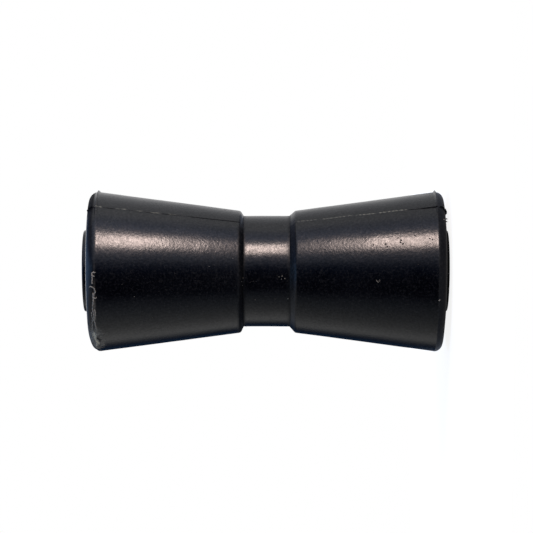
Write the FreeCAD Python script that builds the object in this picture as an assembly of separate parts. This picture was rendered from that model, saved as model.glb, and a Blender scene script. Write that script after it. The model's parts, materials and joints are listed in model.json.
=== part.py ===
import FreeCAD, Part
import math
import os

# Keel roller of a boat trailer, moulded in one piece from solid black rubber.
# Two cones meet at a narrow waist, where the boat's keel runs, and each end carries a low round boss.
# The shaft hole runs along Z. The roller stands on end, with the tip of its lower boss at z = 0.

# Driving dimensions in millimetres

overall_length = 203.0
boss_diameter = 46.5
boss_height = 3.3
boss_bevel = 1.0

end_diameter = 89.0
rim_round = 4.0

cone_small_diameter = 67.6
step_run = 2.4
step_edge_bevel = 0.5
waist_diameter = 61.6
waist_length = 25.8

shaft_diameter = 16.0
shaft_clearance = 0.5
mouth_lead_in = 1.0

# Flash along the mould's parting plane, which holds the axis. Its angle is measured from +X about +Z.
parting_angle = -36.5
parting_flash_height = 0.3
parting_flash_width = 0.6

# Lip of flash on each rim's edge: its height and foot where it is highest, on the +X side, and the arc
# in degrees over which it fades out to both sides.
rim_lip_height = 1.1
rim_lip_foot = 1.4
rim_lip_arc = 110.0

# Places that follow from the driving dimensions

half_length = overall_length / 2
half_body = half_length - boss_height
half_waist = waist_length / 2
end_radius = end_diameter / 2
boss_radius = boss_diameter / 2
bore_radius = shaft_diameter / 2 + shaft_clearance
rim_edge_height = half_body - rim_round

origin = FreeCAD.Vector(0, 0, 0)
axis = FreeCAD.Vector(0, 0, 1)


def point(radius, height):
    """Point of a section, on the half plane through the axis and +X."""
    return FreeCAD.Vector(radius, 0, height)


def along(start, target, distance):
    """Point at a distance from start, on the way to target."""
    return start + (target - start).normalize() * distance


def straight_edges(*points):
    return [Part.LineSegment(start, end).toShape() for start, end in zip(points, points[1:])]


def turned(upper_edges):
    """Solid turned about the shaft's axis. The section's upper half is given, and mirrored below z = 0."""
    lower_edges = [edge.mirror(origin, axis) for edge in upper_edges]
    section = Part.Wire(Part.__sortEdges__(upper_edges + lower_edges))
    return Part.Face(section).revolve(origin, axis, 360)


def body(proud=0.0):
    """Waist, steps, cones and rounded rims as one solid, its moulded surface raised by proud."""
    waist_radius = waist_diameter / 2 + proud
    rim_radius = end_radius + proud
    end_height = half_body + proud

    step_foot = point(waist_radius, half_waist)
    step_edge = point(cone_small_diameter / 2 + proud, half_waist + step_run)
    rim_edge = point(rim_radius, rim_edge_height)
    sides = straight_edges(
        point(waist_radius, 0),
        step_foot,
        along(step_edge, step_foot, step_edge_bevel),
        along(step_edge, rim_edge, step_edge_bevel),
        rim_edge,
    )

    rounding = rim_round + proud
    centre = point(rim_radius - rounding, rim_edge_height)
    middle = along(centre, point(rim_radius, end_height), rounding)
    face_edge = point(rim_radius - rounding, end_height)
    rim = Part.Arc(rim_edge, middle, face_edge).toShape()

    end_face = straight_edges(face_edge, point(0, end_height), point(0, 0))
    return turned(sides + [rim] + end_face)


def bosses():
    """Rod from boss tip to boss tip, which stands out of the body as a boss at each end."""
    return turned(straight_edges(
        point(boss_radius, 0),
        point(boss_radius, half_length - boss_bevel),
        point(boss_radius - boss_bevel, half_length),
        point(0, half_length),
        point(0, 0),
    ))


def shaft_hole():
    """Hole for the trailer's shaft, with a lead-in at each mouth."""
    return turned(straight_edges(
        point(bore_radius, 0),
        point(bore_radius, half_length - mouth_lead_in),
        point(bore_radius + mouth_lead_in, half_length),
        point(0, half_length),
        point(0, 0),
    ))


def parting_flash():
    """Ridge up both sides of the waist, steps and cones, where the two halves of the mould met."""
    reach = end_radius + parting_flash_height
    blade = Part.makeBox(2 * reach, parting_flash_width, 2 * rim_edge_height)
    blade.translate(FreeCAD.Vector(-reach, -parting_flash_width / 2, -rim_edge_height))
    blade.rotate(origin, axis, parting_angle)
    return blade.common(body(parting_flash_height))


def rim_lips():
    """Sharp-edged discs, off centre towards +X, so that a crescent of each stands out of its rim."""
    fade = end_radius * (1 - math.cos(math.radians(rim_lip_arc / 2))) + rim_lip_height
    off_centre = rim_lip_height * (rim_lip_height + 2 * end_radius) / (2 * fade)
    tip_radius = end_radius + rim_lip_height - off_centre
    hub_radius = tip_radius - 2 * rim_lip_height
    disc = turned(straight_edges(
        point(tip_radius, 0),
        point(hub_radius, rim_lip_foot),
        point(0, rim_lip_foot),
        point(0, 0),
    ))
    discs = []
    for height in (-rim_edge_height, rim_edge_height):
        lip = disc.copy()
        lip.translate(FreeCAD.Vector(off_centre, 0, height))
        discs.append(lip)
    return discs


def roller():
    moulding = body().fuse([bosses(), parting_flash()] + rim_lips())
    drilled = moulding.cut(shaft_hole()).removeSplitter()
    drilled.translate(FreeCAD.Vector(0, 0, half_length))
    return drilled.Solids[0]


os.makedirs("parts", exist_ok=True)
roller().exportStep("parts/roller.step")
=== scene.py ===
import json
import math

import bmesh
import bpy
import numpy as np
from mathutils import Matrix, Vector, noise


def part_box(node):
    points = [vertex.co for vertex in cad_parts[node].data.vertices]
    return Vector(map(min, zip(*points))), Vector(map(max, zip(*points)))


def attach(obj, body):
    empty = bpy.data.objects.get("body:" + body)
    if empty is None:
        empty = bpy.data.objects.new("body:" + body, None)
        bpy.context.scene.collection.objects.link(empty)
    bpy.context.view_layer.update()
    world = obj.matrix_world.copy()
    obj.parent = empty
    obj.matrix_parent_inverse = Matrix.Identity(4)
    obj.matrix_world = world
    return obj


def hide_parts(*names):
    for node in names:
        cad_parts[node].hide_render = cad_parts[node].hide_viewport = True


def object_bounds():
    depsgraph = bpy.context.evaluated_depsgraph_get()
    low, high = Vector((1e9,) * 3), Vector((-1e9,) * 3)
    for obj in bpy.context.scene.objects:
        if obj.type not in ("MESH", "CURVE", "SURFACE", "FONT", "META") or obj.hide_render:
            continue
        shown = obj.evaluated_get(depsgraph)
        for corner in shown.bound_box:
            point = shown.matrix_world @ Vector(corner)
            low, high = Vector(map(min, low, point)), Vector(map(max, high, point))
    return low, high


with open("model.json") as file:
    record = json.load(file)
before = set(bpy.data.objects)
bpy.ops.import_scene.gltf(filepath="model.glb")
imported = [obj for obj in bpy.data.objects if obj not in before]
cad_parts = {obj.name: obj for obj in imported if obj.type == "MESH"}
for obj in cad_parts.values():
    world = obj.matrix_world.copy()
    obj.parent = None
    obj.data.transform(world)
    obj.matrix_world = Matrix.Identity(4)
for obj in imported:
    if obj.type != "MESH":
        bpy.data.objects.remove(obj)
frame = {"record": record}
cad_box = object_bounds()

# Lengths are in millimetres until a mesh is made, and heights are above the roller's middle.
# Angles go round the shaft's axis in degrees: 0 faces the camera, and 90 is +X, upwards in the picture.
MM = 0.001
CAD_LOW, CAD_HIGH = (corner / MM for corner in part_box("roller"))
MOUNTS = {mount["name"]: mount for mount in frame["record"]["mounts"]}
SEED = 7

# Outline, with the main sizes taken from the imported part
HALF_LENGTH = CAD_HIGH.z / 2
RIM_RADIUS = min(CAD_HIGH.y, -CAD_LOW.y)
LIP_HEIGHT = CAD_HIGH.x - RIM_RADIUS
BORE_RADIUS = MOUNTS["shaft_bore"]["dims"]["r_mm"]
BORE_HALF = MOUNTS["shaft_bore"]["dims"]["length_mm"] / 2
MOUTH_LEAD_IN = HALF_LENGTH - BORE_HALF
MOUTH_ROUND = 0.2
BOSS_RADIUS = 22.7
BOSS_FOOT_ROUND = 0.4
BOSS_TIP_ROUND = 1.0
CONE_SMALL_RADIUS = 34.05
RIM_SKIN = RIM_RADIUS - 0.05
WAIST_RADIUS = 30.9
STEP_FOOT_ROUND = 0.3
FACE_EDGE_RADIUS = 35.0
FACE_EDGE_ROUND = 12.0
FACE_DROP = 1.1
FACE_DOME = 0.1
FINE_BAND = 3.0

# The two ends differ a little. The upper one, at the left of the picture, is more worn.
UPPER_END = {
    "step_foot": 12.25,
    "step_edge": 13.9,
    "step_round": 2.2,
    "cone_end": 92.5,
    "blend": 6.0,
    "end_face": 98.8,
    "rim_round": 5.0,
}
LOWER_END = {
    "step_foot": 13.2,
    "step_edge": 16.4,
    "step_round": 2.0,
    "cone_end": 93.9,
    "blend": 3.0,
    "end_face": 99.4,
    "rim_round": 4.2,
}

# Spacing of the mesh's rows along the outline, and of the points on its arcs
SPACING = {
    "waist": 1.0,
    "step": 0.5,
    "cone": 1.0,
    "rim": 0.3,
    "rim_corner": 0.8,
    "face": 1.6,
    "boss_side": 0.7,
    "boss_tip": 1.8,
    "mouth": 0.5,
    "bore": 7.0,
}
ARC_STEP = 0.35
ARC_STEPS_PER_RADIAN = 3
FEWEST_ARC_STEPS = 2

# Columns of the mesh for each degree: all round, and how many more at the seams and at the torn corner
COLUMNS = 0.40
SEAM_COLUMNS = 6.5
SEAM_SPREAD = 1.1
TORN_COLUMNS = 2.6
TORN_SPREAD = 13.0
ANGLE_SAMPLES = 14401

# Limits that tell the skin's regions apart
BODY_MARGIN = 0.5
FACE_MARGIN = 0.02
BOSS_FACE_MARGIN = 0.3
BOSS_SIDE_MARGIN = 0.2
BOSS_HUB_MARGIN = 4.0
SIDE_MARGIN = 1.0
RIM_EDGE_HEIGHTS = (92.7, 94.2)

# Ripples: wavelength along the line that they follow, seed, mean and swing
RIPPLE_SINES = 7
SINE_LENGTHS = (0.55, 1.8)
RIPPLES = {
    "seam_wander": (21, 40, 0, 0.10),
    "seam_breaks": (5.5, 50, 0.55, 0.45),
    "fin_height": (5, 60, 0.82, 0.16),
    "back_seam_dust": (9, 70, 0, 1),
    "seam_dots": (2.2, 71, 0.6, 0.6),
    "lip_tips": (7, 80, 0, 0.10),
    "bead_height": (5, 81, 0.03, 0.04),
    "bead_scrape": (2.3, 82, 0.8, 0.4),
    "thread_height": (1.6, 100, 0, 0.07),
    "thread_angle": (1.9, 110, 0, 0.10),
    "thread_lift": (3.0, 120, 0.10, 0.08),
    "thread_size": (1.3, 130, 1, 0.28),
}

# Shrinkage: waves round the axis, wavelength along it, phase and depth
SHRINKAGE = (
    (2, 63, 0.3, 0.020),
    (3, 41, 2.9, 0.018),
    (5, 29, 6.1, 0.014),
    (9, 17, 5.2, 0.008),
    (14, 11, 9.0, 0.005),
)
SHRINKAGE_MEAN = 0.4

# How far out of true the ends, bosses and waist were moulded
END_LEAN = 0.8
LEAN_MEAN = 0.25
LEAN_SWING = 0.5
LEAN_HEIGHTS = (92, 98)
BOSS_OFF_CENTRE = 0.5
WAIST_OFF_CENTRE = 0.3

# Seams: a low ridge on the sides, lower on the waist, that turns over each rim as a tall fin
SEAM_ANGLES = (53.5, -126.5)
SEAM_HALF_WIDTH = 0.26
RIDGE_HEIGHT = 0.03
RIDGE_SWING = 0.07
RIDGE_ON_WAIST = 0.3
RIDGE_HEIGHTS = (12, 16)
LOWER_RIDGE_HEIGHT = 0.35
LOWER_RIDGE_HEIGHTS = ((78, 93), (94.0, 94.4))
FIN_START = (0.6, 1.8)
FIN_HALF_WIDTH_MORE = 0.28
FIN_STRETCH = 3
FIN_SHIFT = 9
FIN_INNER_RADII = (40.8, 38.8)
FIN_INNER_SLOPE = 1.0

# Where dust lies along the seam in view, and where painted shade darkens it: start and end heights, and how
# much
SOFT_END = 0.4
PALE_SEAM = (
    (89.0, 94.5, 0.9), (80.6, 82.4, 0.5), (76.0, 80.0, 0.8), (67.8, 71.4, 0.7), (58.0, 63.5, 0.8),
    (49.8, 53.2, 0.5), (-28.0, -18.0, 0.45), (-48.0, -31.0, 0.6), (-60.0, -50.0, 0.9), (-77.0, -62.0, 1.0),
)
SEAM_SHADE_STRETCHES = (
    (82.6, 88.6, 0.8), (62.3, 66.0, 0.8), (49.5, 57.0, 0.9), (14.0, 42.0, 0.9), (42.0, 95.0, 0.4),
    (-86.2, -78.0, 0.8), (-91.0, -86.6, 1.0), (-94.2, -91.2, 1.0), (-99.0, -95.2, 1.0), (95.0, 99.0, 1.0),
)
BACK_PALE = (0.2, 0.7)
BACK_SEAM_SHADE = (0.1, 0.6)
DUST_OFFSET = 0.22
DUST_HALF_WIDTH = 0.32
SHADE_OFFSET = -0.10
SHADE_HALF_WIDTH = 0.36
SHADE_HALF_WIDTH_MORE = 0.24
SHADE_WIDER_HEIGHTS = (84, 87)

# Painted shade on the upper step and beside the steps, and a duller upper rim: how strong, and where each
# begins and ends
STEP_SHADE = 0.75
STEP_SHADE_HEIGHTS = ((11.8, 12.2), (14.2, 15.6))
STEP_SHADE_ANGLE = -70.0
STEP_SHADE_ARC = (110, 125)
RIM_DULLNESS = 0.75
DULL_RIM_HEIGHTS = (94.2, 95.2)
DULL_RIM_RADIUS = 38.0
DULL_RIM_ANGLES = ((40, 52), (130, 150))
WAIST_SHADE = 0.35
WAIST_SHADE_REACH = (0.2, 1.6)

# Flash lip on each rim: a faint bead all round, and a ragged crescent that is highest at +X
LIP_HEIGHTS = (93.2, -94.1)
LIP_ANGLE = 90.0
LIP_HALF_ARC = 55.0
LIP_HALF_WIDTH = 0.8
LIP_FOOT = 1.3
LIP_FULLNESS = 0.97
TIPS_SHIFT = 70
BEAD_SHIFT = 40

# The bead is scraped pale along the upper rim, most where the flash has curled off
LOWER_SCRAPE = 0.012
UPPER_SCRAPE = 0.02
SCRAPE_MORE = 0.05
SCRAPE_MORE_ANGLES = (-8, 4)
SCRAPE_MOST = 0.12
SCRAPE_MOST_ANGLES = ((15, 22), (46, 52))
SCRAPE_ON_BEAD = (0.1, 0.9)
SCRAPE_LIMIT = 1.2

# Torn corner of the upper rim. A place is an angle, a height, and half lengths round and along the axis.
TORN_CORNER = (-60.0, 94.5, 13.0, 5.5)
TORN_REACH = 1.4
TORN_EDGE = 1.25
TORN_EDGE_SWING = 0.35
TORN_EDGE_SOFTNESS = (0, 0.6)
TORN_RADII = (37, 41.5)
DENT_DEPTH = 1.0
DENT_START = (-1.5, 2.5)
TORN_DEPTH = 0.10
ROUGH_DEPTH = 0.16
FINE_DEPTH = 0.10
TORN_PALENESS = 0.36
TORN_PALENESS_SWING = 0.45

# Lumps in it, with how pale each one is, and crevices, which are dark
LUMPS = (
    (-53.0, 94.1, 2.8, 1.7, 1.0),
    (-60.8, 92.4, 3.2, 1.5, 1.0),
    (-57.0, 93.3, 2.4, 1.4, 1.0),
    (-72.0, 93.6, 2.6, 1.0, 0.6),
    (-66.2, 93.2, 2.2, 0.9, 0.9),
)
CREVICES = (
    (-55.6, 92.0, 1.8, 0.8),
    (-58.6, 91.0, 2.4, 0.9),
)
LUMP_EDGE = 1.35
LUMP_EDGE_SWING = 0.5
LUMP_EDGE_SOFTNESS = (0.1, 0.6)
LUMP_PALENESS = 0.75
LUMP_PALENESS_SWING = 0.35
LUMP_HEIGHT = 0.15
LUMP_HEIGHT_SWING = 0.22

# Roughness of torn rubber: how dense, and where in the noise it is taken from
ROUGH_NOISE = (0.45, 3.1)
FINE_NOISE = (1.5, 8.7)
NOISE_ALONG = 1.3
FRACTAL = (0.9, 2.1, 4)

# The same rim is rubbed rounder over a longer stretch
RUBBED_RIM = (-90.0, 97.0, 30.0, 6.5)
RUBBED_DEPTH = 0.8
RUBBED_EDGE = 1.3
RUBBED_SOFTNESS = (0, 0.9)
RUBBED_RADII = (36, 42)

# Threads of flash curled over the upper rim: thickness, then height and angle of each point
FLASH_THREADS = (
    (0.32, (92.0, -0.5), (93.6, -0.2), (94.4, -1.4), (94.1, -2.8), (92.6, -3.2)),
    (0.28, (94.2, -3.2), (94.0, -5.0), (94.2, -7.0), (94.0, -9.0)),
    (0.30, (95.9, -11.4), (94.9, -10.2), (93.9, -10.8), (92.8, -12.5), (92.5, -14.3), (93.1, -15.6),
     (93.6, -17.2), (93.2, -18.9), (92.2, -18.9), (91.7, -17.6)),
    (0.36, (93.7, -14.6), (93.8, -17.4), (93.6, -20.5), (94.0, -24.0), (94.2, -27.0), (93.9, -29.5),
     (93.6, -32.0), (93.9, -35.0), (93.6, -37.5)),
    (0.32, (93.1, -27.0), (92.7, -30.5), (93.1, -34.5), (93.5, -37.0), (93.0, -40.0), (92.7, -43.5),
     (92.5, -46.0)),
    (0.24, (94.6, -29.5), (94.9, -32.0), (94.4, -35.0), (94.7, -39.0), (94.5, -43.0), (94.9, -46.5)),
)
THREAD_SIDES = 7
THREAD_STEP = 0.22
THREAD_BLUR = (1, 2, 3, 2, 1)
THREAD_FLATNESS = 0.75
THREAD_TAPER = 0.5
THREAD_TIP = 0.25
THREAD_PALENESS = 0.53

# Ragged tags of flash on the lower rim below the seam, and crumbs: height, angle, size
FLASH_TAGS = ((-98.9, 48.5, 0.9), (-98.9, 45.2, 0.85))
CRUMBS = (
    (-9.0, -4.5, 0.55), (-10.5, -6.8, 0.6), (-7.3, -5.2, 0.5), (-8.6, -7.4, 0.45), (-12.2, -28.5, 0.6),
    (13.2, -9.2, 0.5), (5.2, -10.2, 0.34), (6.7, -9.8, 0.34), (8.4, -10.6, 0.3), (5.7, -29.8, 0.45),
    (12.4, -6.5, 0.5), (12.9, -13.5, 0.45), (-94.3, -20.4, 0.85), (-97.3, 41.2, 0.6), (30.8, 4.5, 0.5),
    (-60.2, -6.6, 0.5), (-60.6, -7.5, 0.5), (-61.1, -8.1, 0.55), (-61.7, -7.3, 0.5), (-62.0, -6.5, 0.45),
    (17.9, 12.0, 0.5), (71.5, -19.0, 0.45), (62.0, -38.0, 0.4),
)
TAG_PALENESS = 0.12
TAG_STRETCH = 2.2
CRUMB_PALENESS = 0.8
CRUMB_ROUGHNESS = 0.25
CRUMB_THICKNESS = 0.5
CRUMB_WIDTHS = (0.6, 1.1)
CRUMB_LENGTHS = (0.7, 1.2)
CRUMB_TONES = (0.8, 1.2)
CRUMB_SEED = 200

# Small crumbs scattered over the sides
SCATTERED_CRUMBS = 90
SCATTERED_HEIGHT = 92
SCATTERED_SIZES = (0.16, 0.34)
SCATTERED_PALENESS = 0.6
SCATTERED_SEED = 300

# Pits in the skin: height, angle, radius
PITS = (
    (-65.3, 21.9, 0.55), (-66.1, 19.6, 0.40), (-73.4, 22.7, 0.52), (-74.6, 21.4, 0.52), (-73.6, 24.5, 0.45),
    (-72.0, 26.4, 0.38), (-58.7, 21.7, 0.38), (-81.3, 27.5, 0.36), (-89.2, 24.5, 0.36), (-90.6, 23.5, 0.36),
)
PIT_FLOOR = 0.4
PIT_EDGE = 1.15

# Colours of the rubber. The pale torn colours are partly painted highlight on the torn facets.
RUBBER_DARK = (0.0006, 0.0009, 0.0020)
RUBBER_WORN = (0.0022, 0.0026, 0.0042)
RUBBER_FLECK = (0.016, 0.016, 0.017)
RUBBER_SHADED = (0.12, 0.11, 0.09)
TORN_PALE_AND_GLINT = (0.78, 0.74, 0.64)
FRESH_TORN_PALE_AND_GLINT = (1.0, 0.90, 0.66)
SEAM_DUST = (0.30, 0.31, 0.25)

# Patterns in the rubber: how many to a metre, detail and roughness
CLOUDS = (38, 4, 0.55)
FLECKS = (800, 2, 0.7)
TORN_CRUMBS = (900, 3, 0.55)
PIT_RAGGED = (1100, 2, 0.55)
SPECKLE = (600, 2, 0.7)
SHEEN = (750, 1, 0.55)
GRAIN = (700, 1, 0.6)
COARSE_GRAIN = (300, 2, 0.6)
GRAIN_STRETCH = (1, 1, 1.1)

# How the patterns are used: from low, from high, to low, to high
WORN_CLOUDS = (0.42, 0.72)
SHOWN_FLECKS = (0.50, 0.75)
TORN_SHADES = (0.28, 0.48)
PALEST_TORN_AND_GLINT = (0.60, 0.85)
PIT_BREAKS = (0.3, 0.55, 0.5, 1.0)
SATIN = (0.35, 0.65, 0.19, 0.26)
PATCHY = (0.3, 0.7, -0.02, 0.03)
GLOSS_SPECKLE = (0.3, 0.7, 0.42, 0.58)
GLOSS_LOST = (0, 1, 1.0, 0.04)
GLOSS_ALONG_AXIS = (0.02, 0.19, 0.80, 1.0)

MATT_ROUGHNESS = 0.5
PIT_DULLNESS = 0.8
TORN_DULLNESS = 3.0
RUBBER_IOR = 1.5
GRAIN_SHARE = 0.70
COARSE_SHARE = 0.42
GRAIN_DEPTH = 0.00007

# Camera: its distance, and where the photo shows the roller, in pixels from the top left
PHOTO_WIDTH = 533
PHOTO_CENTRE = (266.5, 266.5)
ROLLER_CENTRE_IN_PHOTO = (265.75, 271.7)
MM_PER_PIXEL = 0.5584
CAMERA_DISTANCE = 1500.0
SENSOR_WIDTH = 36.0

# Softbox above the camera
SOFTBOX_ANGLE = 45.6
SOFTBOX_DISTANCE = 450.0
SOFTBOX_WIDTH = 56.0
SOFTBOX_TALL = 133.0
SOFTBOX_RADIANCE = 28.8
POWER_FOR_RADIANCE = 4
SOFTBOX_COLOUR = (1.0, 0.795, 0.71)

# Light from round the roller: angle, then red, green and blue
STUDIO = (
    (-180, 0.74, 0.74, 0.75),
    (-177, 0.70, 0.70, 0.71),
    (-173, 0.004, 0.014, 0.040),
    (-158, 0.010, 0.030, 0.070),
    (-142, 0.004, 0.014, 0.045),
    (-132, 0.10, 0.11, 0.13),
    (-122, 0.58, 0.58, 0.58),
    (-114, 0.66, 0.66, 0.66),
    (-104, 0.58, 0.58, 0.58),
    (-84, 0.40, 0.41, 0.42),
    (-60, 0.20, 0.22, 0.25),
    (-45, 0.08, 0.09, 0.12),
    (-36, 0.0, 0.0, 0.01),
    (-6, 0.0, 0.0, 0.01),
    (8, 0.0, 0.02, 0.08),
    (26, 0.49, 0.56, 0.73),
    (70, 0.68, 0.79, 1.08),
    (82, 0.55, 0.60, 0.75),
    (96, 0.88, 0.89, 0.92),
    (107, 0.60, 0.61, 0.63),
    (122, 0.55, 0.56, 0.59),
    (142, 0.58, 0.59, 0.61),
    (158, 0.74, 0.74, 0.75),
    (180, 0.74, 0.74, 0.75),
)

# Light from beyond the roller's top, by the upward part of the direction: part, then red, green and blue
STUDIO_LEFT = (
    (-0.60, 0.33, 0.34, 0.36),
    (-0.30, 0.20, 0.23, 0.30),
    (-0.15, 0.19, 0.30, 0.52),
    (0.00, 0.15, 0.30, 0.55),
    (0.06, 0.22, 0.39, 0.70),
    (0.12, 0.22, 0.38, 0.66),
    (0.25, 0.09, 0.13, 0.25),
    (0.70, 0.16, 0.17, 0.22),
)
STUDIO_RIGHT = (0.008, 0.008, 0.012)

# Where the light from beyond the ends takes over, by the parts of the direction along Z, X and Y
END_LIGHT_ALONG = (0.34, 0.6)
END_LIGHT_BELOW = (0.75, 0.95, 1, 0)
END_LIGHT_AHEAD = (0.80, 0.95, 1, 0)
LEFT_FROM_RIGHT = (-0.05, 0.05)
LEFT_BRIGHTER = (0.85, 0.95, 1.0, 1.6)

# Floor
FLOOR_RADIUS = 400.0
FLOOR_CORNERS = 96
FLOOR_COLOUR = (0.45, 0.45, 0.45, 1)
FLOOR_ROUGHNESS = 0.9
FLOOR_GLOW = (0.1, 0.9 * FLOOR_RADIUS * MM, 0.86, 1.0)
FLOOR_IN_GLOSS = 0.08
WHITE = (1, 1, 1, 1)


def smooth(value, low, high):
    """0 at low and 1 at high, eased between them."""
    t = np.clip((value - low) / (high - low), 0, 1)
    return t * t * (3 - 2 * t)


def window(value, rise, fall):
    """1 between two eased slopes, each given by where it starts and ends."""
    return smooth(value, *rise) * (1 - smooth(value, *fall))


def ripple(place, name, number=0):
    """Smooth uneven numbers along a line, made of sines near one wavelength."""
    wavelength, seed, mean, swing = RIPPLES[name]
    draw = np.random.default_rng(SEED + seed + number)
    total = np.zeros_like(place, dtype=float)
    for _ in range(RIPPLE_SINES):
        length = wavelength * draw.uniform(*SINE_LENGTHS)
        total += np.sin(2 * math.pi * (place / length + draw.random()))
    return mean + swing * (total / math.sqrt(RIPPLE_SINES))


def angle_between(angle, centre):
    """Signed difference of two angles in degrees, from -180 to 180."""
    return (angle - centre + 180) % 360 - 180


def unit(vectors):
    """Vectors in the last axis, each scaled to length 1."""
    return vectors / np.linalg.norm(vectors, axis=-1, keepdims=True)


def corners(step_foot, step_edge, step_round, cone_end, blend, end_face, rim_round):
    """Corners from the middle of the waist round one end to the middle of the bore.

    Each has a radius, a height above the middle, a rounding, and the spacing of the points up to the next.
    """
    slope = (RIM_SKIN - CONE_SMALL_RADIUS) / (cone_end - step_edge)
    return [
        (WAIST_RADIUS, 0, 0, SPACING["waist"]),
        (WAIST_RADIUS, step_foot, STEP_FOOT_ROUND, SPACING["step"]),
        (CONE_SMALL_RADIUS, step_edge, step_round, SPACING["cone"]),
        (RIM_SKIN - FINE_BAND * slope, cone_end - FINE_BAND, 0, SPACING["rim"]),
        (RIM_SKIN, cone_end, blend, SPACING["rim"]),
        (RIM_SKIN, end_face - FACE_DROP, rim_round, SPACING["rim_corner"]),
        (FACE_EDGE_RADIUS, end_face - FACE_DOME, FACE_EDGE_ROUND, SPACING["face"]),
        (BOSS_RADIUS, end_face, BOSS_FOOT_ROUND, SPACING["boss_side"]),
        (BOSS_RADIUS, HALF_LENGTH, BOSS_TIP_ROUND, SPACING["boss_tip"]),
        (BORE_RADIUS + MOUTH_LEAD_IN, HALF_LENGTH, MOUTH_ROUND, SPACING["mouth"]),
        (BORE_RADIUS, BORE_HALF, MOUTH_ROUND, SPACING["bore"]),
        (BORE_RADIUS, 0, 0, 0),
    ]


def rounded_corner(before, corner, after, rounding):
    """Points of the arc that rounds a corner and touches the lines to both its neighbours."""
    back, ahead = unit(before - corner), unit(after - corner)
    half_turn = math.acos(np.dot(back, ahead)) / 2
    centre = corner + unit(back + ahead) * rounding / math.sin(half_turn)
    start = corner + back * rounding / math.tan(half_turn) - centre
    end = corner + ahead * rounding / math.tan(half_turn) - centre
    sweep = math.pi - 2 * half_turn
    steps = max(FEWEST_ARC_STEPS, math.ceil(sweep * max(rounding / ARC_STEP, ARC_STEPS_PER_RADIAN)))
    return [
        centre + (start * math.sin((1 - t) * sweep) + end * math.sin(t * sweep)) / math.sin(sweep)
        for t in np.linspace(0, 1, steps + 1)
    ]


def outline(turns):
    """Points (radius, height) along the corners, with each rounded corner as an arc."""
    places = [np.array(turn[:2], float) for turn in turns]
    stations = [places[0]]
    for index in range(1, len(turns)):
        arc = [places[index]]
        if turns[index][2] > 0:
            arc = rounded_corner(places[index - 1], places[index], places[index + 1], turns[index][2])
        begin = stations[-1]
        run = np.linalg.norm(arc[0] - begin)
        pieces = max(1, round(run / turns[index - 1][3]))
        stations += [begin + (arc[0] - begin) * t for t in np.linspace(0, 1, pieces + 1)[1:-1]]
        stations += arc
    return np.array(stations)


def ring_angles():
    """Angles of the mesh's columns, closer together at the seams and at the torn corner."""
    fine = np.linspace(-180, 180, ANGLE_SAMPLES)
    density = np.full_like(fine, COLUMNS)
    for seam in SEAM_ANGLES:
        density += SEAM_COLUMNS * np.exp(-(angle_between(fine, seam) / SEAM_SPREAD) ** 4)
    density += TORN_COLUMNS * np.exp(-(angle_between(fine, TORN_CORNER[0]) / TORN_SPREAD) ** 6)
    total = np.concatenate([[0], np.cumsum((density[1:] + density[:-1]) / 2 * np.diff(fine))])
    count = int(total[-1])
    return np.interp(np.arange(count) * total[-1] / count, total, fine)


class Skin:
    """The moulded skin as grids. Rows follow the outline round both ends, and columns go round the axis."""

    def __init__(self):
        upper = outline(corners(**UPPER_END))
        lower = outline(corners(**LOWER_END))[1:-1][::-1] * (1, -1)
        loop = np.vstack([upper, lower])
        tangent = unit(np.roll(loop, -1, 0) - np.roll(loop, 1, 0))
        angles = ring_angles()
        self.normal = np.stack([tangent[:, 1], -tangent[:, 0]], 1)
        self.radius = np.repeat(loop[:, :1], len(angles), 1)
        self.height = np.repeat(loop[:, 1:], len(angles), 1)
        self.angle = np.repeat(angles[None, :], len(loop), 0)
        self.end = np.sign(self.height)
        self.face = self.at_ends(UPPER_END["end_face"], LOWER_END["end_face"])
        self.step_foot = self.at_ends(UPPER_END["step_foot"], LOWER_END["step_foot"])
        self.step_edge = self.at_ends(UPPER_END["step_edge"], LOWER_END["step_edge"])
        self.past_edge = np.abs(self.height) - self.at_ends(*RIM_EDGE_HEIGHTS)
        self.on_body = (self.radius > WAIST_RADIUS - BODY_MARGIN).astype(float)
        self.on_side = self.on_body * (np.abs(self.height) < self.face - FACE_MARGIN)

    def at_ends(self, upper, lower):
        return np.where(self.end > 0, upper, lower)

    def push(self, distance):
        """Moves the skin out, square to its outline."""
        self.radius += distance * self.normal[:, :1]
        self.height += distance * self.normal[:, 1:]

    def towards_lip(self):
        """Angle from +X, where the lips are highest, in radians."""
        return np.radians(angle_between(self.angle, LIP_ANGLE))

    def blob(self, centre, middle, half_round, half_along):
        """Distance from a place on the rim, 1 at the edge of an ellipse."""
        across = np.radians(angle_between(self.angle, centre)) * RIM_RADIUS
        return np.sqrt((across / half_round) ** 2 + ((self.height - middle) / half_along) ** 2)

    def rough_field(self, mask, scale, seed):
        """Fractal noise on the rim where mask is true, and 0 elsewhere."""
        field = np.zeros_like(self.angle)
        for i, j in np.argwhere(mask):
            round_rim = math.radians(self.angle[i, j]) * RIM_RADIUS
            round_corner = self.height[i, j] - self.radius[i, j]
            spot = Vector((round_rim * scale, round_corner * scale * NOISE_ALONG, seed))
            field[i, j] = noise.fractal(spot, *FRACTAL)
        return field


def shrinkage(skin):
    """How far the skin wanders where the rubber shrank."""
    turn = np.radians(skin.angle)
    depth = np.zeros_like(skin.radius)
    for waves, wavelength, phase, amplitude in SHRINKAGE:
        wave = np.sin(waves * turn + 2 * math.pi * skin.height / wavelength + phase)
        depth += skin.on_body * amplitude * (wave - SHRINKAGE_MEAN)
    return depth


def across_seam(skin, index):
    """Distance round the skin from a seam's middle, which wanders a little."""
    from_seam = np.radians(angle_between(skin.angle, SEAM_ANGLES[index])) * skin.radius
    return from_seam - ripple(skin.height, "seam_wander", index)


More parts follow.
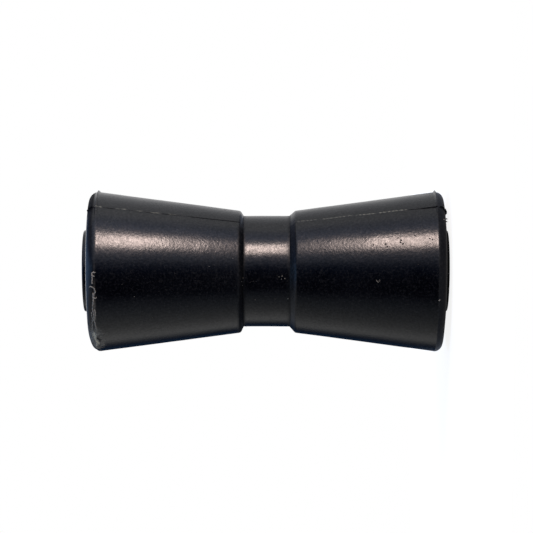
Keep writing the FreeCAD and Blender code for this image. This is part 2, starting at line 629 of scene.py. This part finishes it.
def seam_ridge(skin, index):
    """How far a seam stands out: a low, broken ridge on the sides, and a fin where it turns over each rim."""
    over_edge = smooth(skin.past_edge, *FIN_START)
    half_width = SEAM_HALF_WIDTH + FIN_HALF_WIDTH_MORE * over_edge
    ridge = np.clip(1 - np.abs(across_seam(skin, index)) / half_width, 0, 1)
    breaks = np.clip(ripple(skin.height, "seam_breaks", index), 0, 1)
    past_step = RIDGE_ON_WAIST + (1 - RIDGE_ON_WAIST) * smooth(np.abs(skin.height), *RIDGE_HEIGHTS)
    low = (RIDGE_HEIGHT + RIDGE_SWING * breaks) * past_step
    low += LOWER_RIDGE_HEIGHT * window(-skin.height, *LOWER_RIDGE_HEIGHTS)
    fin = over_edge * ripple(skin.height * FIN_STRETCH + skin.end * FIN_SHIFT, "fin_height", index)
    outside = smooth(skin.radius - skin.at_ends(*FIN_INNER_RADII), 0, FIN_INNER_SLOPE)
    return skin.on_side * ridge * np.where(skin.past_edge > 0, outside, 1) * np.maximum(low, fin)


def stretches(height, table):
    """1 within the table's stretches of height, times each one's strength, with soft ends."""
    total = np.zeros_like(height)
    for start, end, strength in table:
        rise = (start - SOFT_END, start + SOFT_END)
        fall = (end - SOFT_END, end + SOFT_END)
        total = np.maximum(total, strength * window(height, rise, fall))
    return total


def seam_masks(skin, index):
    """Where dust lies along a seam, and where painted shade darkens it. The seam in view is the first one."""
    if index == 0:
        pale = stretches(skin.height, PALE_SEAM)
        shade_and_dull = stretches(skin.height, SEAM_SHADE_STRETCHES)
    else:
        patches = ripple(skin.height, "back_seam_dust")
        pale = smooth(patches, *BACK_PALE)
        shade_and_dull = smooth(-patches, *BACK_SEAM_SHADE)
    across = across_seam(skin, index)
    dots = np.clip(ripple(skin.height, "seam_dots", index), 0, 1)
    in_dust = np.exp(-((across - DUST_OFFSET) / DUST_HALF_WIDTH) ** 2)
    half_width = SHADE_HALF_WIDTH + SHADE_HALF_WIDTH_MORE * smooth(-skin.height, *SHADE_WIDER_HEIGHTS)
    in_shade = np.exp(-((across - SHADE_OFFSET) / half_width) ** 4)
    return skin.on_side * pale * dots * in_dust, skin.on_side * shade_and_dull * in_shade


def step_shade_and_dull_rim(skin):
    """Painted shade on the upper step's face and on the waist beside the steps, and a duller upper rim above
    the seam.
    """
    below_seam = 1 - smooth(np.abs(angle_between(skin.angle, STEP_SHADE_ANGLE)), *STEP_SHADE_ARC)
    shade_on_step = window(skin.height, *STEP_SHADE_HEIGHTS) * below_seam
    on_rim = smooth(skin.height, *DULL_RIM_HEIGHTS) * (skin.radius > DULL_RIM_RADIUS)
    on_rim = on_rim * window(skin.angle, *DULL_RIM_ANGLES)
    to_foot = skin.step_foot - np.abs(skin.height)
    shade_beside_step = (1 - smooth(to_foot, *WAIST_SHADE_REACH)) * (skin.radius < WAIST_RADIUS + BODY_MARGIN)
    shade_and_dullness = (STEP_SHADE * shade_on_step, RIM_DULLNESS * on_rim, WAIST_SHADE * shade_beside_step)
    return skin.on_body * np.maximum.reduce(shade_and_dullness)


def raise_lips(skin):
    """Raises the flash lip round each rim, and gives the mask of where it is."""
    from_lip = skin.towards_lip()
    fade = RIM_RADIUS * (1 - math.cos(math.radians(LIP_HALF_ARC))) + LIP_HEIGHT
    off_centre = LIP_HEIGHT * (LIP_HEIGHT + 2 * RIM_RADIUS) / (2 * fade)
    ring = RIM_RADIUS + LIP_HEIGHT - off_centre
    reach = off_centre * np.cos(from_lip) + np.sqrt(ring ** 2 - (off_centre * np.sin(from_lip)) ** 2)
    crescent = np.clip(reach - RIM_RADIUS, 0, None)
    tips = ripple(skin.angle + TIPS_SHIFT * skin.end, "lip_tips") * np.cos(from_lip)
    ragged = np.clip(LIP_FULLNESS + tips, 0, 1)
    bead = ripple(skin.angle + BEAD_SHIFT * skin.end, "bead_height")
    from_bead = skin.height - skin.at_ends(*LIP_HEIGHTS)
    half_width = np.where((skin.end > 0) & (from_bead < 0), LIP_FOOT, LIP_HALF_WIDTH)
    on_lip = np.clip(1 - np.abs(from_bead) / half_width, 0, 1) * skin.on_body
    skin.radius += np.maximum(crescent * ragged, bead) * on_lip
    return on_lip


def set_out_of_true(skin):
    """Sets the bosses and waist a little off centre, and leans the ends."""
    upwards = np.cos(skin.towards_lip())
    on_boss = (skin.radius > BORE_RADIUS + BOSS_HUB_MARGIN) & (skin.radius < BOSS_RADIUS + BOSS_SIDE_MARGIN)
    on_boss &= np.abs(skin.height) > skin.face - BOSS_FACE_MARGIN
    on_waist = skin.on_body * (1 - smooth(np.abs(skin.height), skin.step_foot, skin.step_edge))
    skin.radius += upwards * np.where(on_boss, BOSS_OFF_CENTRE, WAIST_OFF_CENTRE * on_waist)
    lean = np.clip(LEAN_MEAN - LEAN_SWING * skin.radius / RIM_RADIUS * upwards, 0, None)
    skin.height -= skin.end * END_LEAN * lean * smooth(np.abs(skin.height), *LEAN_HEIGHTS)


def rubbed_depth(skin):
    """How far the upper rim is rubbed down."""
    inside = smooth(RUBBED_EDGE - skin.blob(*RUBBED_RIM), *RUBBED_SOFTNESS)
    return RUBBED_DEPTH * skin.on_body * inside * smooth(skin.radius, *RUBBED_RADII)


def tear_corner(skin):
    """Tears the corner of the upper rim, rubs the rim beside it, and gives the mask of pale torn rubber."""
    reach = skin.blob(*TORN_CORNER)
    near = (reach < TORN_REACH) & (skin.end > 0) & (skin.on_body > 0)
    rough = skin.rough_field(near, *ROUGH_NOISE)
    fine = skin.rough_field(near, *FINE_NOISE)
    inside = near * smooth(TORN_EDGE - reach + TORN_EDGE_SWING * rough, *TORN_EDGE_SOFTNESS)
    inside = inside * smooth(skin.radius, *TORN_RADII)
    # The paleness is torn rubber's own, and partly painted highlight on the torn facets
    scuff = inside * np.clip(TORN_PALENESS + TORN_PALENESS_SWING * fine, 0, 1)
    torn = -np.maximum(DENT_DEPTH * inside, rubbed_depth(skin)) * smooth(skin.past_edge, *DENT_START)
    torn -= inside * (TORN_DEPTH + ROUGH_DEPTH * rough + FINE_DEPTH * fine)

    def spot(*place):
        edge = LUMP_EDGE - skin.blob(*place) + LUMP_EDGE_SWING * fine
        return near * smooth(edge, *LUMP_EDGE_SOFTNESS)

    for *place, paleness in LUMPS:
        lump = spot(*place)
        scuff = np.maximum(scuff, lump * paleness * (LUMP_PALENESS + LUMP_PALENESS_SWING * fine))
        torn += lump * (LUMP_HEIGHT_SWING * fine + LUMP_HEIGHT * paleness)
    for place in CREVICES:
        crevice = spot(*place)
        scuff = scuff * (1 - crevice)
        torn += crevice * (LUMP_HEIGHT_SWING * fine - LUMP_HEIGHT)
    skin.push(torn)
    return scuff


def scraped_bead(skin, on_lip):
    """Where the bead is scraped pale."""
    angle = -skin.angle
    upper = UPPER_SCRAPE + SCRAPE_MORE * smooth(angle, *SCRAPE_MORE_ANGLES)
    upper = upper + SCRAPE_MOST * window(angle, *SCRAPE_MOST_ANGLES)
    uneven = np.clip(ripple(skin.angle, "bead_scrape"), 0, SCRAPE_LIMIT)
    return skin.on_body * skin.at_ends(upper, LOWER_SCRAPE) * smooth(on_lip, *SCRAPE_ON_BEAD) * uneven


def moulded_skin():
    """The finished skin, and masks for its material."""
    skin = Skin()
    seams = range(len(SEAM_ANGLES))
    masks = [seam_masks(skin, index) for index in seams]
    pale_seam = np.maximum.reduce([pale for pale, _ in masks])
    # Painted shade along the seams and steps, with the dull rim strip, taken off the gloss
    dark_seam = np.maximum.reduce([shade_and_dull for _, shade_and_dull in masks] + [step_shade_and_dull_rim(skin)])
    skin.push(shrinkage(skin) + sum(seam_ridge(skin, index) for index in seams))
    on_lip = raise_lips(skin)
    set_out_of_true(skin)
    scuff = tear_corner(skin)
    scuff = np.clip(np.maximum(scuff, scraped_bead(skin, on_lip)), 0, 1)
    return skin, {"scuff": scuff, "pale_seam": pale_seam, "dark_seam": dark_seam}


def place_points(radius, height, angle):
    """Points in metres, in the part's frame, from radius, height above the middle and angle."""
    turn = np.radians(angle)
    return MM * np.stack([radius * np.sin(turn), -radius * np.cos(turn), height + HALF_LENGTH], -1)


def keep_in_box(points):
    """Nothing reaches outside the part's box."""
    return np.clip(points, np.array(cad_box[0]), np.array(cad_box[1]))


def add_mesh(name, points, faces, smooth_shading=True):
    mesh = bpy.data.meshes.new(name)
    mesh.from_pydata(points.tolist(), [], faces)
    mesh.polygons.foreach_set("use_smooth", [smooth_shading] * len(mesh.polygons))
    mesh.update()
    piece = bpy.data.objects.new(name, mesh)
    bpy.context.scene.collection.objects.link(piece)
    return piece


def add_mask(piece, name, values):
    mask = piece.data.attributes.new(name, "FLOAT", "POINT")
    mask.data.foreach_set("value", values.ravel())


def make_roller():
    skin, masks = moulded_skin()
    rows, columns = skin.radius.shape
    index = np.arange(rows * columns).reshape(rows, columns)
    below, beside = np.roll(index, -1, 0), np.roll(index, -1, 1)
    corner = np.roll(beside, -1, 0)
    faces = np.stack([index, beside, corner, below], -1).reshape(-1, 4).tolist()
    points = place_points(skin.radius, skin.height, skin.angle).reshape(-1, 3)
    piece = add_mesh("roller_body", keep_in_box(points), faces)
    for name, values in masks.items():
        add_mask(piece, name, values)
    return piece


def side_of(end):
    """Outline points of one end's side, from the waist to where the rim turns onto the end face."""
    points = outline(corners(**end))
    return points[points[:, 0] > BOSS_RADIUS + SIDE_MARGIN]


UPPER_SIDE = side_of(UPPER_END)
LOWER_SIDE = side_of(LOWER_END)


def skin_radius(height):
    """Radius of the outline at heights above the middle."""
    upper = np.interp(height, UPPER_SIDE[:, 1], UPPER_SIDE[:, 0])
    lower = np.interp(-height, LOWER_SIDE[:, 1], LOWER_SIDE[:, 0])
    return np.where(height > 0, upper, lower)


def thread_rings(number, thickness, path):
    """Rings of points round one thread of flash, which lies on the skin along its path."""
    steps = np.hypot(np.diff(path[:, 0]), np.radians(np.diff(path[:, 1])) * RIM_RADIUS)
    along = np.concatenate([[0], np.cumsum(steps)])
    fine = np.arange(0, along[-1], THREAD_STEP)
    blur = np.array(THREAD_BLUR) / sum(THREAD_BLUR)
    margin = len(THREAD_BLUR) // 2
    heights, angles = (
        np.convolve(np.pad(np.interp(fine, along, column), margin, "edge"), blur, "valid")
        for column in path.T
    )
    heights = heights + ripple(fine, "thread_height", number)
    angles = angles + ripple(fine, "thread_angle", number)
    radii = skin_radius(heights) + ripple(fine, "thread_lift", number)
    middle = place_points(radii, heights, angles)
    ahead = unit(np.gradient(middle, axis=0))
    outward = unit(place_points(radii + 1, heights, angles) - middle)
    beside = np.cross(ahead, outward)
    taper = np.clip(np.minimum(fine, fine[-1] - fine) / THREAD_TAPER, THREAD_TIP, 1)
    size = MM * thickness * taper * ripple(fine, "thread_size", number)
    turn = 2 * math.pi * np.arange(THREAD_SIDES)[None, :, None] / THREAD_SIDES
    flat = THREAD_FLATNESS * np.cos(turn) * outward[:, None] + np.sin(turn) * beside[:, None]
    return middle[:, None] + size[:, None, None] * flat


def tube_faces(start, rings, sides):
    """Faces of a closed tube, whose first point has the number start."""
    faces = []
    for ring in range(rings - 1):
        for side in range(sides):
            first, second = start + ring * sides, start + (ring + 1) * sides
            following = (side + 1) % sides
            faces.append((first + side, first + following, second + following, second + side))
    faces.append(tuple(start + side for side in reversed(range(sides))))
    faces.append(tuple(start + (rings - 1) * sides + side for side in range(sides)))
    return faces


def make_threads():
    """Threads of flash, as thin ragged tubes that lie along the upper rim."""
    points, faces = [], []
    for number, (thickness, *path) in enumerate(FLASH_THREADS):
        rings = thread_rings(number, thickness, np.array(path))
        faces += tube_faces(len(points), len(rings), THREAD_SIDES)
        points += rings.reshape(-1, 3).tolist()
    piece = add_mesh("flash_threads", keep_in_box(np.array(points)), faces)
    add_mask(piece, "scuff", np.full(len(points), THREAD_PALENESS))
    return piece


def ball():
    """Points and faces of a ball with radius 1."""
    made = bmesh.new()
    bmesh.ops.create_icosphere(made, subdivisions=2, radius=1)
    points = np.array([tuple(v.co) for v in made.verts])
    faces = [tuple(v.index for v in f.verts) for f in made.faces]
    made.free()
    return points, faces


def make_crumbs(name, spots, paleness, stretch=1.0):
    """Small irregular crumbs, half sunk in the skin. Each spot has a height, an angle and a size."""
    draw = np.random.default_rng(SEED + CRUMB_SEED)
    round_points, triangles = ball()
    along = np.array((0, 0, 1.0))
    points, faces, pale = [], [], []
    for height, angle, size in spots:
        radius = skin_radius(height)
        centre = place_points(radius, height, angle)
        outward = unit(place_points(radius + 1, height, angle) - centre)
        beside = np.cross(along, outward)
        uneven = 1 + CRUMB_ROUGHNESS * draw.standard_normal((len(round_points), 1))
        shape = round_points * uneven * size / 2 * MM
        flat = shape[:, :1] * outward * CRUMB_THICKNESS
        flat = flat + shape[:, 1:2] * beside * draw.uniform(*CRUMB_WIDTHS)
        flat = flat + shape[:, 2:3] * along * draw.uniform(*CRUMB_LENGTHS) * stretch
        faces.extend(tuple(v + len(points) for v in triangle) for triangle in triangles)
        points.extend(centre + flat)
        pale.extend([paleness * min(size, 1) * draw.uniform(*CRUMB_TONES)] * len(round_points))
    piece = add_mesh(name, keep_in_box(np.array(points)), faces)
    add_mask(piece, "scuff", np.array(pale))
    return piece


def scattered():
    """Places for the small crumbs, all over the sides."""
    draw = np.random.default_rng(SEED + SCATTERED_SEED)
    spans = ((-SCATTERED_HEIGHT, SCATTERED_HEIGHT), (-180, 180), SCATTERED_SIZES)
    return [tuple(draw.uniform(*span) for span in spans) for _ in range(SCATTERED_CRUMBS)]


def node(tree, kind, **settings):
    made = tree.nodes.new(kind)
    for key, value in settings.items():
        setattr(made, key, value)
    return made


def feed(tree, socket, value):
    """Links a socket to another one, or sets it to a number or colour."""
    if isinstance(value, (int, float)):
        socket.default_value = value
    elif isinstance(value, tuple):
        socket.default_value = (*value, 1)
    else:
        tree.links.new(value, socket)


def math_node(tree, operation, *values, clamp=False):
    made = node(tree, "ShaderNodeMath", operation=operation, use_clamp=clamp)
    for socket, value in zip(made.inputs, values):
        feed(tree, socket, value)
    return made.outputs[0]


def noise_field(tree, position, scale, detail, roughness):
    made = node(tree, "ShaderNodeTexNoise")
    feed(tree, made.inputs["Vector"], position)
    feed(tree, made.inputs["Scale"], scale)
    feed(tree, made.inputs["Detail"], detail)
    feed(tree, made.inputs["Roughness"], roughness)
    return made.outputs["Fac"]


def blend_colour(tree, factor, first, second):
    made = node(tree, "ShaderNodeMix", data_type="RGBA")
    feed(tree, made.inputs["Factor"], factor)
    feed(tree, made.inputs["A"], first)
    feed(tree, made.inputs["B"], second)
    return made.outputs["Result"]


def map_range(tree, value, low, high, to_low=0.0, to_high=1.0):
    made = node(tree, "ShaderNodeMapRange")
    feed(tree, made.inputs["Value"], value)
    feed(tree, made.inputs["From Min"], low)
    feed(tree, made.inputs["From Max"], high)
    feed(tree, made.inputs["To Min"], to_low)
    feed(tree, made.inputs["To Max"], to_high)
    return made.outputs["Result"]


def pit_mask(tree, position):
    """1 in the pits, with ragged edges."""
    nearest = None
    for height, angle, size in PITS:
        apart = node(tree, "ShaderNodeVectorMath", operation="DISTANCE")
        tree.links.new(position, apart.inputs[0])
        apart.inputs[1].default_value = tuple(place_points(skin_radius(height), height, angle))
        depth = map_range(tree, apart.outputs["Value"], PIT_FLOOR * size * MM, PIT_EDGE * size * MM, 1, 0)
        nearest = depth if nearest is None else math_node(tree, "MAXIMUM", nearest, depth)
    ragged = map_range(tree, noise_field(tree, position, *PIT_RAGGED), *PIT_BREAKS)
    return math_node(tree, "MULTIPLY", nearest, ragged)


def rubber_colour(tree, position, clouds, scuff, pale):
    """Black skin with worn clouds and flecks, pale torn rubber with painted highlight where scuffed, and dust
    by the seams.
    """
    skin = blend_colour(tree, map_range(tree, clouds, *WORN_CLOUDS), RUBBER_DARK, RUBBER_WORN)
    flecks = noise_field(tree, position, *FLECKS)
    skin = blend_colour(tree, map_range(tree, flecks, *SHOWN_FLECKS), skin, RUBBER_FLECK)
    crumbs = noise_field(tree, position, *TORN_CRUMBS)
    # Torn rubber's own paleness, raised and warmed as painted highlight on its facets
    torn = blend_colour(tree, map_range(tree, crumbs, *TORN_SHADES), RUBBER_SHADED, TORN_PALE_AND_GLINT)
    torn = blend_colour(tree, map_range(tree, scuff, *PALEST_TORN_AND_GLINT), torn, FRESH_TORN_PALE_AND_GLINT)
    colour = blend_colour(tree, scuff, skin, torn)
    return blend_colour(tree, pale, colour, SEAM_DUST)


def rubber_roughness(tree, stretched, clouds, matt_places):
    """Satin skin, patchy with the clouds, and matt where it is torn, dusty or pitted, under painted shade and
    on the dull rim strip.
    """
    satin = map_range(tree, noise_field(tree, stretched, *SPECKLE), *SATIN)
    patchy = math_node(tree, "ADD", satin, map_range(tree, clouds, *PATCHY))
    matt = matt_places[0]
    for mask in matt_places[1:]:
        matt = math_node(tree, "MAXIMUM", matt, mask)
    return math_node(tree, "MULTIPLY_ADD", matt, MATT_ROUGHNESS, patchy)


def rubber_gloss(tree, position, stretched, scuff, shade_and_dull, pit):
    """Speckled gloss, less towards the lower end, and nearly none in torn and pitted places, under painted
    shade and on the dull rim.
    """
    dull = math_node(tree, "MAXIMUM", shade_and_dull, math_node(tree, "MULTIPLY", pit, PIT_DULLNESS))
    dull = math_node(tree, "MAXIMUM", dull, math_node(tree, "MULTIPLY", scuff, TORN_DULLNESS, clamp=True))
    sheen = map_range(tree, noise_field(tree, stretched, *SHEEN), *GLOSS_SPECKLE)
    along = node(tree, "ShaderNodeSeparateXYZ")
    tree.links.new(position, along.inputs[0])
    kept = map_range(tree, dull, *GLOSS_LOST)
    kept = math_node(tree, "MULTIPLY", kept, map_range(tree, along.outputs["Z"], *GLOSS_ALONG_AXIS))
    return math_node(tree, "MULTIPLY", sheen, kept)


def rubber_grain(tree, stretched, pit):
    """Normal of the grained and pitted skin."""
    grain = noise_field(tree, stretched, *GRAIN)
    coarse = math_node(tree, "MULTIPLY", noise_field(tree, stretched, *COARSE_GRAIN), COARSE_SHARE)
    surface = math_node(tree, "MULTIPLY_ADD", grain, GRAIN_SHARE, coarse)
    bump = node(tree, "ShaderNodeBump")
    bump.inputs["Strength"].default_value = 1.0
    bump.inputs["Distance"].default_value = GRAIN_DEPTH
    tree.links.new(math_node(tree, "SUBTRACT", surface, pit), bump.inputs["Height"])
    return bump.outputs["Normal"]


def rubber():
    """Black moulded rubber: satin skin with a fine grain, faint bloom and pits, torn where scuffed."""
    material = bpy.data.materials.new("moulded_rubber")
    material.use_nodes = True
    tree = material.node_tree
    shader = tree.nodes["Principled BSDF"]
    position = node(tree, "ShaderNodeTexCoord").outputs["Object"]
    stretch = node(tree, "ShaderNodeVectorMath", operation="MULTIPLY")
    tree.links.new(position, stretch.inputs[0])
    stretch.inputs[1].default_value = GRAIN_STRETCH
    stretched = stretch.outputs[0]
    # The third mask is painted shade along the seams and steps, with the dull rim strip
    scuff, pale, shade_and_dull = (
        node(tree, "ShaderNodeAttribute", attribute_name=name).outputs["Fac"]
        for name in ("scuff", "pale_seam", "dark_seam")
    )
    pit = pit_mask(tree, position)
    clouds = noise_field(tree, position, *CLOUDS)
    looks = {
        "Base Color": rubber_colour(tree, position, clouds, scuff, pale),
        "Roughness": rubber_roughness(tree, stretched, clouds, (scuff, pale, shade_and_dull, pit)),
        "Specular IOR Level": rubber_gloss(tree, position, stretched, scuff, shade_and_dull, pit),
        "Normal": rubber_grain(tree, stretched, pit),
    }
    for name, look in looks.items():
        tree.links.new(look, shader.inputs[name])
    shader.inputs["IOR"].default_value = RUBBER_IOR
    return material


def finish_piece(piece, material):
    piece.data.materials.append(material)
    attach(piece, "root")
    return piece


def make_camera():
    """Level with the roller's middle and turned on its side, so that the roller's top is at the left."""
    camera = bpy.data.cameras.new("camera")
    camera.sensor_width = SENSOR_WIDTH
    camera.lens = SENSOR_WIDTH * CAMERA_DISTANCE / (PHOTO_WIDTH * MM_PER_PIXEL)
    right = (PHOTO_CENTRE[0] - ROLLER_CENTRE_IN_PHOTO[0]) * MM_PER_PIXEL
    up = (ROLLER_CENTRE_IN_PHOTO[1] - PHOTO_CENTRE[1]) * MM_PER_PIXEL
    spot = Vector((up, -CAMERA_DISTANCE, HALF_LENGTH - right)) * MM
    turned = Matrix(((0, 1, 0), (0, 0, -1), (-1, 0, 0)))
    made = bpy.data.objects.new("camera", camera)
    made.matrix_world = Matrix.Translation(spot) @ turned.to_4x4()
    bpy.context.scene.collection.objects.link(made)
    bpy.context.scene.camera = made


def make_softbox():
    """Rectangular lamp that faces the roller's middle: tall is across the axis, width along it."""
    lamp = bpy.data.lights.new("softbox", "AREA")
    lamp.shape = "RECTANGLE"
    lamp.size, lamp.size_y = SOFTBOX_WIDTH * MM, SOFTBOX_TALL * MM
    lamp.energy = POWER_FOR_RADIANCE * SOFTBOX_RADIANCE * lamp.size * lamp.size_y
    lamp.color = SOFTBOX_COLOUR
    turn = math.radians(SOFTBOX_ANGLE)
    outward = Vector((math.sin(turn), -math.cos(turn), 0))
    along = Vector((0, 0, 1))
    across = outward.cross(along)
    spot = outward * SOFTBOX_DISTANCE * MM + Vector((0, 0, HALF_LENGTH * MM))
    made = bpy.data.objects.new("softbox", lamp)
    made.matrix_world = Matrix.Translation(spot) @ Matrix((along, across, outward)).transposed().to_4x4()
    made.visible_camera = False
    bpy.context.scene.collection.objects.link(made)


def colour_ramp(tree, factor, table, low, high):
    """Colours from a table whose first column runs from low to high."""
    ramp = node(tree, "ShaderNodeValToRGB")
    tree.links.new(factor, ramp.inputs["Fac"])
    stops = ramp.color_ramp.elements
    stops.remove(stops[-1])
    for number, (place, *colour) in enumerate(table):
        position = (place - low) / (high - low)
        stop = stops[0] if number == 0 else stops.new(position)
        stop.position = position
        stop.color = (*colour, 1)
    return ramp.outputs["Color"]


def light_from_ends(tree, direction):
    """Light from beyond the roller's top at the left of the picture, and nearly none from beyond its foot."""
    left = colour_ramp(tree, map_range(tree, direction.outputs["X"], -1, 1), STUDIO_LEFT, -1, 1)
    brighter = node(tree, "ShaderNodeVectorMath", operation="SCALE")
    tree.links.new(left, brighter.inputs[0])
    tree.links.new(map_range(tree, direction.outputs["Z"], *LEFT_BRIGHTER), brighter.inputs["Scale"])
    leftward = map_range(tree, direction.outputs["Z"], *LEFT_FROM_RIGHT)
    return blend_colour(tree, leftward, STUDIO_RIGHT, brighter.outputs[0])


def white_where_seen(tree):
    """1 for rays straight from the camera or through clear things, which see plain white."""
    path = node(tree, "ShaderNodeLightPath")
    return math_node(tree, "MAXIMUM", path.outputs["Is Camera Ray"], path.outputs["Is Transmission Ray"])


def make_world():
    """White to the camera. Other rays see a soft tent: dark beside the camera, pale elsewhere."""
    world = bpy.data.worlds.new("studio")
    bpy.context.scene.world = world
    world.use_nodes = True
    tree = world.node_tree
    direction = node(tree, "ShaderNodeSeparateXYZ")
    tree.links.new(node(tree, "ShaderNodeTexCoord").outputs["Generated"], direction.inputs[0])
    towards_camera = math_node(tree, "MULTIPLY", direction.outputs["Y"], -1)
    turn = math_node(tree, "ARCTAN2", direction.outputs["X"], towards_camera)
    around = colour_ramp(tree, map_range(tree, turn, -math.pi, math.pi), STUDIO, -180, 180)
    along = map_range(tree, math_node(tree, "ABSOLUTE", direction.outputs["Z"]), *END_LIGHT_ALONG)
    below = map_range(tree, direction.outputs["X"], *END_LIGHT_BELOW)
    ahead = map_range(tree, direction.outputs["Y"], *END_LIGHT_AHEAD)
    at_ends = math_node(tree, "MULTIPLY", math_node(tree, "MULTIPLY", along, below), ahead)
    light = blend_colour(tree, at_ends, around, light_from_ends(tree, direction))
    tent = tree.nodes["Background"]
    tree.links.new(light, tent.inputs["Color"])
    tent.inputs["Strength"].default_value = 1.0
    white = node(tree, "ShaderNodeBackground")
    white.inputs["Color"].default_value = WHITE
    choose = node(tree, "ShaderNodeMixShader")
    tree.links.new(white_where_seen(tree), choose.inputs["Fac"])
    tree.links.new(tent.outputs[0], choose.inputs[1])
    tree.links.new(white.outputs[0], choose.inputs[2])
    tree.links.new(choose.outputs[0], tree.nodes["World Output"].inputs["Surface"])


def floor_glow(tree):
    """White glow that melts into the background, a little less near the roller, and faint in its gloss."""
    length = node(tree, "ShaderNodeVectorMath", operation="LENGTH")
    tree.links.new(node(tree, "ShaderNodeTexCoord").outputs["Object"], length.inputs[0])
    away = map_range(tree, length.outputs["Value"], *FLOOR_GLOW)
    path = node(tree, "ShaderNodeLightPath")
    in_gloss = math_node(tree, "MULTIPLY", path.outputs["Is Glossy Ray"], FLOOR_IN_GLOSS)
    shown = math_node(tree, "MAXIMUM", white_where_seen(tree), in_gloss)
    glow = node(tree, "ShaderNodeEmission")
    glow.inputs["Color"].default_value = WHITE
    tree.links.new(math_node(tree, "MULTIPLY", away, shown), glow.inputs["Strength"])
    return glow.outputs[0]


def make_floor():
    """Pale round floor that keeps a soft shadow near the roller and melts into the white round it."""
    turn = 2 * math.pi * np.arange(FLOOR_CORNERS) / FLOOR_CORNERS
    rim = MM * FLOOR_RADIUS * np.stack([np.cos(turn), np.sin(turn), np.zeros_like(turn)], -1)
    floor = add_mesh("floor", rim, [tuple(range(FLOOR_CORNERS))], smooth_shading=False)
    material = bpy.data.materials.new("pale_floor")
    material.use_nodes = True
    tree = material.node_tree
    shader = tree.nodes["Principled BSDF"]
    shader.inputs["Base Color"].default_value = FLOOR_COLOUR
    shader.inputs["Roughness"].default_value = FLOOR_ROUGHNESS
    both = node(tree, "ShaderNodeAddShader")
    tree.links.new(shader.outputs[0], both.inputs[0])
    tree.links.new(floor_glow(tree), both.inputs[1])
    tree.links.new(both.outputs[0], tree.nodes["Material Output"].inputs["Surface"])
    floor.data.materials.append(material)


roller_rubber = rubber()
roller = finish_piece(make_roller(), roller_rubber)
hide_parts("roller")
finish_piece(make_threads(), roller_rubber)
finish_piece(make_crumbs("flash_tags", FLASH_TAGS, TAG_PALENESS, TAG_STRETCH), roller_rubber)
finish_piece(make_crumbs("crumbs", CRUMBS, CRUMB_PALENESS), roller_rubber)
finish_piece(make_crumbs("scattered_crumbs", scattered(), SCATTERED_PALENESS), roller_rubber)

make_camera()
make_world()
make_floor()
make_softbox()
bpy.context.scene.view_settings.view_transform = "Standard"
